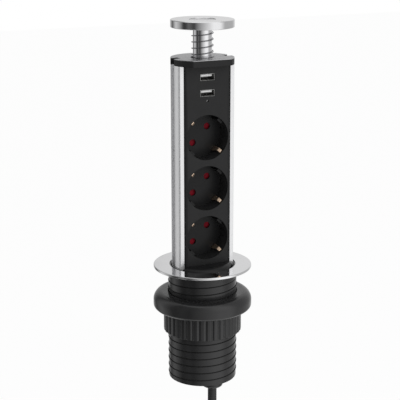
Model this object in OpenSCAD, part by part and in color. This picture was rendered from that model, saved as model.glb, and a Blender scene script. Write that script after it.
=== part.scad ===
// Pull-up power tower for a round hole in a worktop.
// Millimetres, +Z up. The origin is the centre of the hole, level with the top
// of the worktop. The sockets look along -Y. The tower is drawn pulled up.

/* [Tower] */
// Outside diameter of the sliding tower
tower_d = 54; // [54:0.5:58]
// Wall of the aluminium profile
tower_wall = 1.4; // [1.2:0.1:1.6]
// Top of the tower above the worktop, when it is pulled up
tower_up = 184.4; // [184:1:200]
// Distance from the tower's axis to the front of the socket face
face_out = 10.4; // [10:0.2:11]
// Width of the socket face between the profile's lips
face_w = 43.4; // [42:0.2:44]
// Thickness of the socket face
face_t = 2.5; // [2.2:0.1:2.8]
// Step from the socket face back to the profile's lips
lip_step = 0.6; // [0.4:0.1:1]
// Width of the groove down each side of the tower
notch_w = 8; // [7:0.5:9]
// Depth of the groove down each side of the tower
notch_d = 4.2; // [3.6:0.1:4.2]
// Distance of the side grooves' middle behind the tower's axis
notch_back = 2.3; // [1.5:0.1:3]

/* [Sockets] */
// Diameter of a socket's round recess
recess_d = 39; // [37:0.2:39]
// Depth of a socket's round recess
recess_depth = 15.8; // [15:0.1:16]
// Wall of a socket's cup
cup_wall = 1.2; // [1:0.1:1.4]
// Distance from the tower's top down to the first socket's middle
socket_drop = 67.4; // [67:0.1:72]
// Distance from one socket to the next
socket_pitch = 44.3; // [42:0.1:46]
// Distance between a socket's two pin holes
pin_pitch = 19; // [18.6:0.1:19.4]
// Diameter of a pin hole
pin_hole_d = 5.8; // [5.2:0.1:5.8]
// Turn of the sockets about their own axis
socket_turn = 45; // [40:1:50]

/* [USB ports] */
// Distance from the tower's top down to the first USB port's middle
usb_drop = 15.7; // [15.2:0.1:18]
// Distance from one USB port to the next
usb_pitch = 13.5; // [12:0.5:15]
// Distance from the second USB port down to the light
light_drop = 6.8; // [6:0.2:9]

/* [End cap] */
// Height of the black end cap with its steel plate
end_cap_h = 5.6; // [5:0.1:7]
// Thickness of the steel plate on the end cap
plate_t = 0.6; // [0.4:0.1:1]
// Distance from the axis to the end cap's flat front
end_flat_out = 20.4; // [19:0.2:22]
// Depth that the steel plate's side notches go past the groove
plate_notch = 2; // [0.5:0.1:2]

/* [Lift cap] */
// Diameter of the steel lift cap
cap_d = 54; // [50:0.5:54]
// Thickness of the lift cap
cap_t = 6.6; // [6:0.1:8]
// Gap between the tower's top and the lift cap at rest
cap_gap = 25.1; // [22:0.1:28]
// Distance that the lift cap can be pressed down
cap_stroke = 10.5; // [8:0.5:10.5]
// Diameter of the release button
button_d = 21.8; // [20:0.2:24]
// Distance that the release button can be pressed
button_stroke = 1.8; // [1:0.1:2]
// Outside diameter of the chromed guide tube
tube_d = 16.2; // [15.6:0.2:16.6]
// Wall of the chromed guide tube
tube_wall = 0.7; // [0.6:0.1:0.9]
// Thickness of the lift spring's wire
wire_d = 0.9; // [0.7:0.1:1.1]
// Rise of one turn of the lift spring
spring_pitch = 5.2; // [4.5:0.1:6]

/* [Trim ring and collar] */
// Outside diameter of the steel trim ring
ring_d = 86; // [82:1:94]
// Thickness of the trim ring
ring_t = 2; // [1.8:0.1:3]
// Width of the black collar that shows inside the trim ring
ring_reveal = 1.5; // [0.3:0.1:2]
// Thickness of the rubber gasket under the trim ring
gasket_t = 0.6; // [0.4:0.1:1]
// Length of the collar below the worktop's top
collar_len = 101.8; // [98:0.2:106]
// Wall of the collar
collar_wall = 2.5; // [2:0.1:3.5]
// Height of the thread on the collar
thread_h = 0.45; // [0.3:0.05:0.6]
// Rise of one turn of the thread
thread_pitch = 6.6; // [5:0.1:8]

/* [Clamp] */
// Thickness of the worktop that the clamp is drawn on
worktop_t = 22; // [10:1:34]
// Outside diameter of the clamp washer
washer_d = 86.8; // [80:0.2:92]
// Height of the clamp washer
washer_h = 15; // [12:0.2:17]
// Outside diameter of the ribbed clamp nut
nut_d = 68.8; // [66:0.2:74]
// Height of the ribbed clamp nut
nut_h = 21; // [18:0.1:25]
// Number of ribs round the clamp nut
nut_ribs = 36; // [24:1:44]

/* [Cord] */
// Diameter of the cord
cord_d = 8; // [7:0.1:8]
// Diameter of the gland that the cord leaves by
gland_d = 19; // [17:0.2:20]
// Length of the gland below the tower's bottom cap
gland_len = 14; // [12:0.5:18]

/* [Hidden] */
$fn = 64;

// Clearances
slide_gap = 0.5;
fit_gap = 0.3;
snug_gap = 0.15;
cut = 1;

// Plan of the tower. In plans, the second coordinate is the distance in front of the axis.
tower_r = tower_d / 2;
inner_r = tower_r - tower_wall;
face_half = face_w / 2;
face_back = face_out - face_t;
lip_out = face_out - lip_step;
lip_t = 3.4;
tongue_w = 1.4;
tongue_t = 0.9;
tongue_out = face_back + 0.1;
face_bevel_w = 1.7;
face_bevel_t = 0.8;
face_groove_w = 1.2;
notch_mid = -notch_back;
notch_x = tower_r - notch_d;
port_r = 3.2;
port_merge = 0.5;
port_turn = 56;
port_distance = inner_r - port_r + port_merge;
port_x = port_distance * sin(port_turn);
port_out = -port_distance * cos(port_turn);
screw_r = 1.6;
screw_head_r = 2.9;
screw_head_h = 2.2;
screw_len = 16;
arris_r = 0.5;
arris_drop = 1.2;
corner_r = 2.5;
blend = 0.02;
corner_x = sqrt(pow(tower_r - corner_r, 2) - pow(end_flat_out - corner_r, 2));

// Heights of the tower
end_cap_z = tower_up - end_cap_h;
plate_z = tower_up - plate_t;
bottom_inset = 3.8;
tower_z = bottom_inset - collar_len;
bottom_cap_h = 4;
profile_z = tower_z + bottom_cap_h;
cover_up = 4.4;
cover_round = 7;
cover_gap = 0.2;
cover_seat = 0.05;
cover_wall = 2.2;

// Sockets, seen from the front: distances along the recess's axis are measured from the tower's axis
recess_r = recess_d / 2;
cup_r = recess_r + cup_wall;
floor_out = face_out - recess_depth;
floor_t = 1.8;
cavity_d = 2.2;
cavity_r = 14.2;
skirt_r = 15.4;
floor_back = floor_out - floor_t;
cavity_back = floor_back - cavity_d;
block_depth = 12;
block_back = cavity_back - block_depth;
strip_t = 0.8;
strip_w = 5.2;
rail_w = 4.4;
sleeve_r = 3.2;
block_wall = 0.6;
block_r = pin_pitch / 2 + sleeve_r + block_wall;
sleeve_drop = 1.2;
sleeve_bore_r = pin_hole_d / 2 - 0.4;
pivot_r = 1.5;
shutter_t = 1.6;
shutter_gap = 0.3;
shutter_lap = 0.6;
shutter_w = 4.4;
pivot_gap = 0.1;
rib_w = 5.2;
rib_in = 2.2;
rib_drop = 3;
rib_root = 0.6;
earth_tip_drop = 1.6;
earth_nose_drop = 3.9;
earth_foot = 2;
earth_bulge = 2.1;
earth_nose_r = 1.2;
earth_nose_w = 2.8;
earth_nose_steps = 8;
earth_wall_gap = 0.5;
arm_r = recess_r - earth_wall_gap;
rail_x = pin_pitch / 2 * cos(socket_turn);
rail_rise = pin_pitch / 2 * sin(socket_turn);
rail_end = 12;
rail_foot = 8;
rail_back = block_back - strip_t;
socket_count = 3;
function socket_z(i) = tower_up - socket_drop - (i - 1) * socket_pitch;
rail_top_z = socket_z(1) + rail_end;
rail_foot_z = socket_z(socket_count) - rail_end - rail_foot;

// USB ports
usb_w = 12.5;
usb_h = 5.1;
usb_shell_t = 0.3;
usb_depth = 13.2;
usb_back_t = 1;
tongue_slack = 1.8;
tongue_h = 1.8;
tongue_rise = 1.1;
tongue_sink = 0.5;
usb_sink = 0.3;
usb_window_gap = 0.1;
board_t = 1.6;
board_w = 30;
usb_back = face_out - usb_depth;
usb_top = tower_up - usb_drop + usb_h / 2 + usb_shell_t;
board_below = 12;
board_z = tower_up - usb_drop - usb_pitch - light_drop - board_below / 2;
light_z = tower_up - usb_drop - usb_pitch - light_drop;
light_r = 0.9;
light_sink = 1.5;
function usb_z(i) = tower_up - usb_drop - (i - 1) * usb_pitch;

// Leads inside the tower's foot
terminal_half = 9.5;
terminal_h = 14;
terminal_front = -9;
lead_r = 1.5;
lead_lap = 3.5;
lead_out = block_back + lead_r;
core_r = 1.2;
core_pitch = 3;
core_back = 3.2;
core_rise = 6;
gland_stem_r = gland_d / 3;
gland_base_h = 3;
gland_base_inset = 0.6;
gland_round = 2.5;

// Lift cap and release button
cap_r = cap_d / 2;
cap_z = tower_up + cap_gap;
cap_top = cap_z + cap_t;
cap_bevel = 0.5;
cap_edge = 0.4;
tube_r = tube_d / 2;
tube_in = tube_r - tube_wall;
tube_entry = 0.8;
tube_z = tower_up - tube_entry;
post_r = tube_in - fit_gap;
post_bore_r = 2.9;
rod_r = 2.4;
cap_floor_t = 1.7;
button_r = button_d / 2;
button_t = 1.8;
button_sink = 0.6;
button_edge = 0.4;
ring_spring_inset = 0.8;
ring_spring_w = 1.2;
button_z = cap_top - button_sink - button_t;
post_room = 1.5;
post_top = cap_z - cap_stroke - post_room;
rod_room = 1;
rod_z = usb_top + cap_stroke + button_stroke + rod_room;
bridge_drop = 0.7;
bridge_top = usb_top - bridge_drop;
bridge_t = 3.8;
bridge_half = 8;
bridge_front = usb_back - board_t - fit_gap;
pocket_depth = 4.4;
pocket_z = tower_up - pocket_depth;
curl_rings = 8;
curl_r = tube_r + fit_gap / 2 + wire_d / 2;
curl_vertex_r = curl_r / cos(180 / curl_rings);
pocket_r = curl_vertex_r + wire_d / 2 + snug_gap;
spring_low = pocket_z + wire_d / 2;
spring_high = cap_z - wire_d / 2;
spring_turns = round((spring_high - spring_low) / spring_pitch + 0.5);
spring_rise = (spring_high - spring_low) / (spring_turns - 0.5);
spring_steps = spring_turns * curl_rings;
spring_apart = 5;
wire_sides = 6;

// Trim ring and collar
bore_r = tower_r + slide_gap;
collar_r = bore_r + collar_wall;
thread_r = collar_r + thread_h;
thread_w = 1.3;
thread_start = -8.7;
thread_rings = 24;
thread_fade = 6;
thread_root = 0.9;
thread_turns = (collar_len + thread_start - thread_w) / thread_pitch;
thread_count = floor(thread_turns * thread_rings);
ring_r = ring_d / 2;
ring_in = bore_r + ring_reveal;
ring_skin = 1;
ring_rim = 5;
ring_round = 0.8;
flange_r = ring_r - ring_rim;
gasket_inset = 1.5;
gasket_r = ring_r - gasket_inset;
ring_z = gasket_t;
ring_top = gasket_t + ring_t;
pad_len = 30;
pad_z = profile_z + fit_gap;

// Clamp
nut_bore_r = thread_r + fit_gap;
washer_r = washer_d / 2;
washer_round = 8;
washer_under = 3;
nut_r = nut_d / 2;
nut_gap = 0.1;
nut_groove_r = 1.2;
nut_z = -worktop_t - washer_h - nut_gap;

// Cord, coil and plug. The cord's straight runs go from one of these points to the next.
cord_x = 6;
cord_y = -8;
gland_z = tower_z - gland_len;
cord_sides = 10;
cord_points = [[6, -8, -112], [6, -8, -124], [6, -8, -140], [6, -8, -156], [6, -8, -172], [6, -8, -187]];
tail_points = [[6, 0.6, -203], [6, 0.6, -220], [6, 0.6, -240], [6, 0.6, -260], [6, 0.6, -275]];
coil_z = -195;
coil_turns = 5;
coil_rings = 24;
coil_step = 8.6;
coil_outer_r = 54.8;
coil_sides = 6;
coil_apart = 16;
coil_steps = coil_turns * coil_rings;
coil_mid_x = cord_x - coil_outer_r;
tie_w = 12;
tie_t = 1.2;
tie_gap = 0.7;
relief_len = 26;
relief_top_r = 5.2;
relief_bottom_r = 6.6;
plug_z = -301;
plug_grip = 20;
plug_insert = 16.6;
plug_r = 18.6;
plug_neck_r = 11;
plug_pin_r = 2.4;
plug_pin_len = 19;
plug_edge = 1;
plug_slope = 3;
plug_slot_w = 3;
plug_slot_slack = 0.4;
plug_slot_in = 0.1;
earth_strip_w = 5.2;
earth_slot_w = 6.8;
earth_slot_in = 0.3;
earth_strip_t = 0.8;

// A plan drawn as (across, in front) stands between two heights
module upright(z0, z1) {
    translate([0, 0, z0]) linear_extrude(z1 - z0) mirror([0, 1]) children();
}

// Children drawn face up are turned to look out of the tower's front, at a height
module facing(z, x = 0) {
    translate([x, 0, z]) rotate([90, 0, 0]) children();
}

// A round bar along the facing direction, between two distances in front of the axis
module bar(r, out0, out1) {
    translate([0, 0, out0]) cylinder(h = out1 - out0, r = r);
}

// A block in the facing direction, centred across and up
module slab(w, h, out0, out1) {
    translate([-w / 2, -h / 2, out0]) cube([w, h, out1 - out0]);
}

// A band of the plan from one distance in front of the axis to another
module band(out0, out1) {
    translate([-tower_d, out0]) square([2 * tower_d, out1 - out0]);
}

// Children stand at the same place left and right of the plan's middle
module at_sides(x, out) {
    for (s = [-1, 1]) translate([s * x, out]) children();
}

// A block of the plan left and right, between two distances from its middle
module side_blocks(x0, x1, out0, out1) {
    at_sides((x0 + x1) / 2, (out0 + out1) / 2) square([x1 - x0, out1 - out0], center = true);
}

module side_notches(w, inner_x) {
    side_blocks(inner_x, tower_r + slide_gap + cut, notch_mid - w / 2, notch_mid + w / 2);
}

// The rings of a tube: a side direction is given for each point of its path
function unit(v) = v / norm(v);
function heading(path, i) = unit(path[min(i + 1, len(path) - 1)] - path[max(i - 1, 0)]);
function tube_ring(path, sides, i, r, n) = let(
    t = heading(path, i),
    b = unit(cross(t, sides[i])),
    a = cross(b, t)
) [for (k = [0:n - 1]) path[i] + r * (cos(k * 360 / n) * a + sin(k * 360 / n) * b)];

module swept_tube(path, sides, r, n) {
    count = len(path);
    points = [for (i = [0:count - 1]) each tube_ring(path, sides, i, r, n)];
    walls = [for (i = [0:count - 2], k = [0:n - 1]) let(
        a = i * n + k,
        b = i * n + (k + 1) % n
    ) each [[a, a + n, b], [b, a + n, b + n]]];
    start = [for (k = [1:n - 2]) [0, k, k + 1]];
    end = [for (k = [1:n - 2]) [(count - 1) * n, (count - 1) * n + k + 1, (count - 1) * n + k]];
    polyhedron(points, concat(walls, start, end));
}

// Least distance between the skins of a tube's turns that lie at least this many rings apart
function self_gap(path, apart, thick) = min([
    for (i = [0:len(path) - 1 - apart], j = [i + apart:len(path) - 1]) norm(path[i] - path[j])
]) - thick;

// Trim ring, gasket, collar and guide pads
module trim_ring() {
    color([0.8, 0.8, 0.82]) difference() {
        rotate_extrude() {
            translate([ring_in, ring_z]) square([ring_r - ring_in - ring_round, ring_t]);
            translate([ring_in, ring_z]) square([ring_r - ring_in, ring_t - ring_round]);
            translate([ring_r - ring_round, ring_top - ring_round]) circle(ring_round);
        }
        translate([0, 0, ring_z - cut]) cylinder(h = ring_t - ring_skin + cut, r = flange_r + snug_gap);
    }
}

module ring_gasket() {
    color([0.15, 0.15, 0.15]) difference() {
        cylinder(h = gasket_t, r = gasket_r);
        translate([0, 0, -cut]) cylinder(h = gasket_t + 2 * cut, r = collar_r + snug_gap);
    }
}

// Corners of the thread's section at one ring
function thread_ring(i) = let(
    turn = i / thread_rings,
    z = thread_start - turn * thread_pitch,
    inside = collar_r - thread_root,
    grow = min(1, i / thread_fade, (thread_count - i) / thread_fade),
    outside = collar_r + thread_h * max(grow, 0.05)
) [for (c = [[inside, 0.5], [outside, 0.25], [outside, -0.25], [inside, -0.5]])
    [c[0] * cos(-turn * 360), c[0] * sin(-turn * 360), z + c[1] * thread_w]];

module collar_thread() {
    points = [for (i = [0:thread_count]) each thread_ring(i)];
    walls = [for (i = [0:thread_count - 1], k = [0:3]) let(
        a = i * 4 + k,
        b = i * 4 + (k + 1) % 4
    ) each [[a, b, a + 4], [b, b + 4, a + 4]]];
    last = thread_count * 4;
    polyhedron(points, concat(walls, [[0, 2, 1], [0, 3, 2]], [[last, last + 1, last + 2], [last, last + 2, last + 3]]));
}

module collar_sleeve() {
    color([0.16, 0.16, 0.17]) {
        difference() {
            union() {
                translate([0, 0, -collar_len]) cylinder(h = collar_len + gasket_t, r = collar_r);
                translate([0, 0, gasket_t]) cylinder(h = ring_t - ring_skin, r = flange_r);
                collar_thread();
            }
            translate([0, 0, -collar_len - cut]) cylinder(h = collar_len + ring_top + 2 * cut, r = bore_r);
        }
    }
}

module guide_pads() {
    color([0.85, 0.85, 0.8]) upright(pad_z, pad_z + pad_len) intersection() {
        circle(bore_r);
        side_notches(notch_w - 2 * fit_gap, notch_x + fit_gap);
    }
}

// Clamp under the worktop
module clamp_washer() {
    flat_r = washer_r - washer_round;
    color([0.13, 0.13, 0.14]) translate([0, 0, -worktop_t - washer_h]) rotate_extrude() difference() {
        union() {
            square([flat_r, washer_h]);
            translate([0, washer_under]) square([washer_r, washer_h - washer_round - washer_under]);
            square([washer_r - washer_under, washer_h - washer_round]);
            translate([flat_r, washer_h - washer_round]) circle(washer_round);
            translate([washer_r - washer_under, washer_under]) circle(washer_under);
        }
        translate([0, -cut]) square([nut_bore_r, washer_h + 2 * cut]);
        translate([0, -washer_round]) square([washer_r + cut, washer_round]);
    }
}

module clamp_nut() {
    color([0.13, 0.13, 0.14]) translate([0, 0, nut_z - nut_h]) linear_extrude(nut_h) difference() {
        circle(nut_r);
        circle(nut_bore_r);
        for (k = [0:nut_ribs - 1])
            rotate(k * 360 / nut_ribs) translate([nut_r + nut_groove_r * 0.3, 0]) circle(nut_groove_r, $fn = 24);
    }
}

// Aluminium profile
module tower_profile() {
    color([0.82, 0.83, 0.85]) upright(profile_z, end_cap_z) difference() {
        union() {
            difference() {
                circle(tower_r);
                circle(inner_r);
            }
            intersection() {
                circle(tower_r);
                union() {
                    side_blocks(face_half, tower_r + cut, lip_out - lip_t, lip_out);
                    side_notches(notch_w + 2 * tower_wall, notch_x - tower_wall);
                }
            }
            at_sides(port_x, port_out) circle(port_r);
        }
        band(lip_out, lip_out + tower_r);
        translate([-face_half, lip_out - lip_t - cut]) square([face_w, tower_r]);
        side_blocks(face_half - cut, face_half + tongue_w, tongue_out - snug_gap, tongue_out + tongue_t + snug_gap);
        side_notches(notch_w, notch_x);
        at_sides(port_x, port_out) circle(screw_r);
        at_sides(sqrt(pow(tower_r, 2) - pow(lip_out - arris_drop, 2)), lip_out - arris_drop) circle(arris_r, $fn = 24);
    }
}

module face_plan() {
    side = face_half - snug_gap;
    step = side - face_groove_w;
    flat = step - face_bevel_w;
    low = face_out - face_bevel_t;
    polygon([
        [-side, face_back], [-side, tongue_out], [-side - tongue_w, tongue_out],
        [-side - tongue_w, tongue_out + tongue_t], [-step, tongue_out + tongue_t], [-step, low], [-flat, face_out],
        [flat, face_out], [step, low], [step, tongue_out + tongue_t],
        [side + tongue_w, tongue_out + tongue_t], [side + tongue_w, tongue_out], [side, tongue_out], [side, face_back]
    ]);
}

module face_plate() {
    color([0.19, 0.19, 0.2]) difference() {
        upright(profile_z, end_cap_z) face_plan();
        for (i = [1:socket_count])
            facing(socket_z(i)) bar(recess_r, face_back - cut, face_out + cut);
        for (i = [1:2])
            facing(usb_z(i)) slab(
                usb_w + 2 * (usb_shell_t + usb_window_gap),
                usb_h + 2 * (usb_shell_t + usb_window_gap),
                face_back - cut, face_out + cut
            );
        facing(light_z) bar(light_r + usb_window_gap, face_back - cut, face_out + cut);
        translate([0, 0, tube_z - cap_stroke - cut]) cylinder(h = cap_stroke + tower_up, r = tube_r + fit_gap);
    }
}

// Cover that fills the bore in front of the face
module lower_cover() {
    cover_r = tower_r - cover_gap;
    color([0.1, 0.1, 0.11]) difference() {
        cover_block(cover_r);
        upright(profile_z - cut, cover_up - cover_round) intersection() {
            circle(cover_r - cover_wall);
            band(face_out + cover_seat + cover_wall, tower_r);
        }
    }
}

module cover_block(cover_r) {
    intersection() {
        upright(profile_z, cover_up + cut) difference() {
            intersection() {
                circle(cover_r);
                band(lip_out + snug_gap, tower_r);
            }
            translate([-face_half, 0]) square([face_w, face_out + cover_seat]);
        }
        rotate_extrude() {
            translate([0, profile_z]) square([cover_r - cover_round, cover_up - profile_z]);
            translate([0, profile_z]) square([cover_r, cover_up - cover_round - profile_z]);
            intersection() {
                translate([cover_r - cover_round, cover_up - cover_round]) circle(cover_round);
                translate([0, profile_z]) square([cover_r, cover_up - profile_z]);
            }
        }
    }
}

// End cap, its steel plate and screws
module end_plan(notch_in = notch_x) {
    reach = (end_flat_out - corner_r) * tower_r / (tower_r - corner_r);
    difference() {
        union() {
            intersection() {
                circle(tower_r);
                band(-tower_r, reach);
            }
            at_sides(corner_x, end_flat_out - corner_r) circle(corner_r + blend);
            translate([-corner_x, 0]) square([2 * corner_x, end_flat_out]);
        }
        side_notches(notch_w, notch_in);
    }
}

module end_cap() {
    color([0.12, 0.12, 0.13]) difference() {
        union() {
            upright(end_cap_z, plate_z) end_plan();
            upright(bridge_top, end_cap_z) intersection() {
                circle(inner_r - fit_gap);
                translate([-bridge_half, -tower_r]) square([2 * bridge_half, tower_r - tube_r - fit_gap]);
            }
        }
        translate([0, 0, pocket_z]) cylinder(h = pocket_depth + cut, r = pocket_r);
        translate([0, 0, bridge_top - cut]) cylinder(h = end_cap_h + tower_up, r = tube_r + fit_gap);
        for (s = [-1, 1]) translate([s * port_x, -port_out, 0]) {
            translate([0, 0, end_cap_z - cut]) cylinder(h = end_cap_h + cut, r = screw_r);
            translate([0, 0, plate_z - screw_head_h]) cylinder(h = screw_head_h + cut, r = screw_head_r + snug_gap);
        }
    }
}

module top_plate() {
    color([0.75, 0.75, 0.77]) upright(plate_z, tower_up) difference() {
        end_plan(notch_x - plate_notch);
        circle(pocket_r);
    }
}

module screw(z_seat, down) {
    shank = screw_len - screw_head_h;
    translate([0, 0, down ? z_seat : z_seat - screw_head_h]) cylinder(h = screw_head_h, r = screw_head_r);
    translate([0, 0, down ? z_seat - shank : z_seat]) cylinder(h = shank, r = screw_r);
}

module end_cap_screws() {
    color([0.6, 0.6, 0.62])
        for (s = [-1, 1]) translate([s * port_x, -port_out, 0]) screw(plate_z - screw_head_h, true);
}

// Post that guides the tube from inside, on a bridge behind the USB board
module guide_post() {
    color([0.5, 0.5, 0.52]) difference() {
        union() {
            translate([0, 0, bridge_top]) cylinder(h = post_top - bridge_top, r = post_r);
            upright(bridge_top - bridge_t, bridge_top) intersection() {
                circle(inner_r - fit_gap);
                translate([-bridge_half, -tower_r]) square([2 * bridge_half, tower_r + bridge_front]);
            }
        }
        translate([0, 0, bridge_top + cut]) cylinder(h = post_top, r = post_bore_r);
        upright(bridge_top - cut, usb_top + fit_gap) translate([-tower_r, bridge_front]) square([tower_d, tower_r]);
    }
}

// One socket: cup, shutter, earth clip and contact block. The turned frame has its pins along X.
module turned() {
    rotate(socket_turn) children();
}

module pin_places() {
    for (s = [-1, 1]) translate([s * pin_pitch / 2, 0, 0]) children();
}

module socket_cup(i) {
    color([0.17, 0.17, 0.18]) facing(socket_z(i)) turned() difference() {
        union() {
            difference() {
                bar(cup_r, floor_back, face_back);
                bar(recess_r, floor_out, face_back + cut);
            }
            bar(skirt_r, cavity_back, floor_back);
            for (s = [-1, 1]) intersection() {
                translate([s * (recess_r + (rib_root - rib_in) / 2), 0, 0])
                    slab(rib_in + rib_root, rib_w, floor_out - cut / 2, face_out - rib_drop);
                bar(recess_r + cup_wall / 2, floor_out - cut / 2, face_out);
            }
        }
        bar(cavity_r, cavity_back - cut, floor_back);
        pin_places() bar(pin_hole_d / 2, floor_back - cut, floor_out + cut);
        bar(pivot_r + pivot_gap, floor_back - cut, floor_back + floor_t / 2);
        for (s = [-1, 1]) translate([0, s * (arm_r - strip_t / 2), 0])
            slab(strip_w + 2 * snug_gap, strip_t + 2 * snug_gap, floor_back - cut, floor_out + cut);
    }
}

module shutter(i) {
    back = cavity_back + shutter_gap;
    color([0.7, 0.05, 0.08]) facing(socket_z(i)) turned() {
        pin_places() bar(pin_hole_d / 2 + shutter_lap, back, back + shutter_t);
        slab(pin_pitch, shutter_w, back, back + shutter_t);
        bar(pivot_r, back, floor_back + floor_t / 2 - pivot_gap);
    }
}

// Side view of one arm of an earth clip: its spring strip leans in to a round nose and back to the wall
module earth_arm_side() {
    strip_out = cavity_back - strip_t;
    foot_out = floor_out + earth_foot;
    nose_out = face_out - earth_nose_drop;
    tip_out = face_out - earth_tip_drop;
    arm_in = arm_r - strip_t;
    nose_mid = arm_in - earth_bulge + earth_nose_r;
    from = -atan2(earth_bulge, nose_out - foot_out);
    to = atan2(earth_bulge, tip_out - nose_out);
    function nose(r) = [for (k = [0:earth_nose_steps]) let(a = from + (to - from) * k / earth_nose_steps)
        [nose_mid - r * cos(a), nose_out + r * sin(a)]];
    polygon(concat(
        [[arm_in, strip_out], [arm_in, foot_out]], nose(earth_nose_r), [[arm_in, tip_out], [arm_r, tip_out]],
        [for (k = [earth_nose_steps:-1:0]) nose(earth_nose_r - strip_t)[k]],
        [[arm_r, foot_out], [arm_r, strip_out]]
    ));
}

// Front view of one arm, across the strip and along its length
module earth_arm_front() {
    nose_low = face_out - earth_nose_drop - earth_nose_r;
    foot_out = floor_out + earth_foot;
    polygon([
        [-strip_w / 2, cavity_back - cut], [strip_w / 2, cavity_back - cut], [strip_w / 2, foot_out],
        [earth_nose_w / 2, nose_low], [earth_nose_w / 2, face_out], [-earth_nose_w / 2, face_out],
        [-earth_nose_w / 2, nose_low], [-strip_w / 2, foot_out]
    ]);
}

module earth_clip(i) {
    color([0.78, 0.6, 0.3]) facing(socket_z(i)) turned() {
        slab(strip_w, 2 * arm_r, cavity_back - strip_t, cavity_back);
        for (s = [0, 180]) rotate(s) intersection() {
            translate([-strip_w / 2 - cut, 0, 0]) rotate([90, 0, 90]) linear_extrude(strip_w + 2 * cut) earth_arm_side();
            translate([0, arm_r + cut, 0]) rotate([90, 0, 0]) linear_extrude(arm_r) earth_arm_front();
        }
    }
}

module contact_block(i) {
    color([0.3, 0.3, 0.32]) facing(socket_z(i)) difference() {
        bar(block_r, block_back, cavity_back);
        turned() {
            pin_places() bar(sleeve_r + snug_gap, block_back - cut, cavity_back + cut);
            slab(strip_w + 2 * snug_gap, 2 * (block_r + cut), cavity_back - strip_t, cavity_back + cut);
        }
        bar(pivot_r + snug_gap, block_back - cut, cavity_back);
    }
}

// A rail behind the blocks with one sleeve for each socket, on one side of the middle
module pin_rail(side) {
    difference() {
        union() {
            translate([side * rail_x - rail_w / 2, -block_back, rail_foot_z])
                cube([rail_w, strip_t, rail_top_z - rail_foot_z]);
            for (i = [1:socket_count]) facing(socket_z(i) + side * rail_rise, side * rail_x)
                bar(sleeve_r, rail_back, cavity_back - sleeve_drop);
        }
        for (i = [1:socket_count]) facing(socket_z(i) + side * rail_rise, side * rail_x)
            bar(sleeve_bore_r, rail_back - cut, cavity_back);
    }
}

module live_rail() {
    color([0.8, 0.55, 0.3]) pin_rail(1);
}

module neutral_rail() {
    color([0.8, 0.55, 0.3]) pin_rail(-1);
}

module earth_rail() {
    color([0.8, 0.62, 0.35]) {
        translate([-rail_w / 2, -block_back, rail_foot_z]) cube([rail_w, strip_t, rail_top_z - rail_foot_z]);
        for (i = [1:socket_count]) facing(socket_z(i)) bar(pivot_r, rail_back, cavity_back - strip_t);
    }
}

// USB board and its two ports
module usb_board() {
    color([0.1, 0.35, 0.2]) translate([-board_w / 2, -usb_back, board_z])
        cube([board_w, board_t, usb_top - board_z]);
}

module usb_converter() {
    converter_w = 24;
    converter_d = 12;
    color([0.1, 0.1, 0.1]) translate([-converter_w / 2, -usb_back + board_t, board_z])
        cube([converter_w, converter_d, bridge_top - bridge_t - fit_gap - board_z]);
}

module usb_shell(i) {
    color([0.85, 0.85, 0.87]) facing(usb_z(i)) difference() {
        slab(usb_w + 2 * usb_shell_t, usb_h + 2 * usb_shell_t, usb_back, face_out - usb_sink);
        slab(usb_w, usb_h, usb_back + usb_back_t, face_out + cut);
    }
}

module usb_tongue(i) {
    color([0.92, 0.92, 0.92]) facing(usb_z(i)) translate([0, tongue_rise, 0])
        slab(usb_w - tongue_slack, tongue_h, usb_back + usb_back_t, face_back - tongue_sink);
}

module light_pipe() {
    color([0.8, 0.85, 0.9]) facing(light_z) bar(light_r, usb_back, face_out - light_sink);
}

// Foot of the tower
module bottom_cap() {
    color([0.12, 0.12, 0.13]) difference() {
        translate([0, 0, tower_z]) cylinder(h = bottom_cap_h, r = tower_r - cover_gap);
        translate([cord_x, cord_y, tower_z - cut]) cylinder(h = bottom_cap_h + 2 * cut, r = gland_stem_r + snug_gap);
        for (s = [-1, 1]) translate([s * port_x, -port_out, tower_z - cut]) {
            cylinder(h = bottom_cap_h + 2 * cut, r = screw_r);
            cylinder(h = screw_head_h + cut, r = screw_head_r + snug_gap);
        }
    }
}

module bottom_cap_screws() {
    color([0.6, 0.6, 0.62])
        for (s = [-1, 1]) translate([s * port_x, -port_out, 0]) screw(tower_z + screw_head_h, false);
}

module terminal_block() {
    color([0.85, 0.85, 0.82]) upright(profile_z, profile_z + terminal_h)
        translate([-terminal_half, rail_back]) square([2 * terminal_half, terminal_front - rail_back]);
}

// Leads from the terminal block up to the three rails
module rail_leads() {
    foot = profile_z + terminal_h;
    color([0.3, 0.3, 0.6]) for (x = [-rail_x, 0, rail_x])
        translate([x, -lead_out, foot]) cylinder(h = rail_foot_z + lead_lap - foot, r = lead_r);
}

// The cord's three cores, from the gland to the terminal block
module core_leads() {
    core_z = profile_z + core_rise;
    color([0.5, 0.35, 0.2]) for (k = [-1, 0, 1]) translate([cord_x + core_pitch * k, cord_y, 0]) {
        translate([0, core_back, profile_z]) cylinder(h = core_z - profile_z, r = core_r);
        translate([0, core_back, core_z]) sphere(core_r);
        translate([0, core_back, core_z]) rotate([-90, 0, 0])
            cylinder(h = -cord_y - core_back - terminal_front, r = core_r);
    }
}

module cable_gland() {
    color([0.1, 0.1, 0.1]) translate([cord_x, cord_y, 0]) {
        translate([0, 0, tower_z]) cylinder(h = bottom_cap_h, r = gland_stem_r);
        translate([0, 0, tower_z - gland_base_h]) cylinder(h = gland_base_h, r = gland_d / 2 - gland_base_inset);
    }
}

module gland_nut() {
    r = gland_d / 2;
    h = gland_len - gland_base_h;
    color([0.1, 0.1, 0.1]) translate([cord_x, cord_y, gland_z]) rotate_extrude() {
        square([r - gland_round, h]);
        translate([0, gland_round]) square([r, h - gland_round]);
        translate([r - gland_round, gland_round]) circle(gland_round);
    }
}

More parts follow.
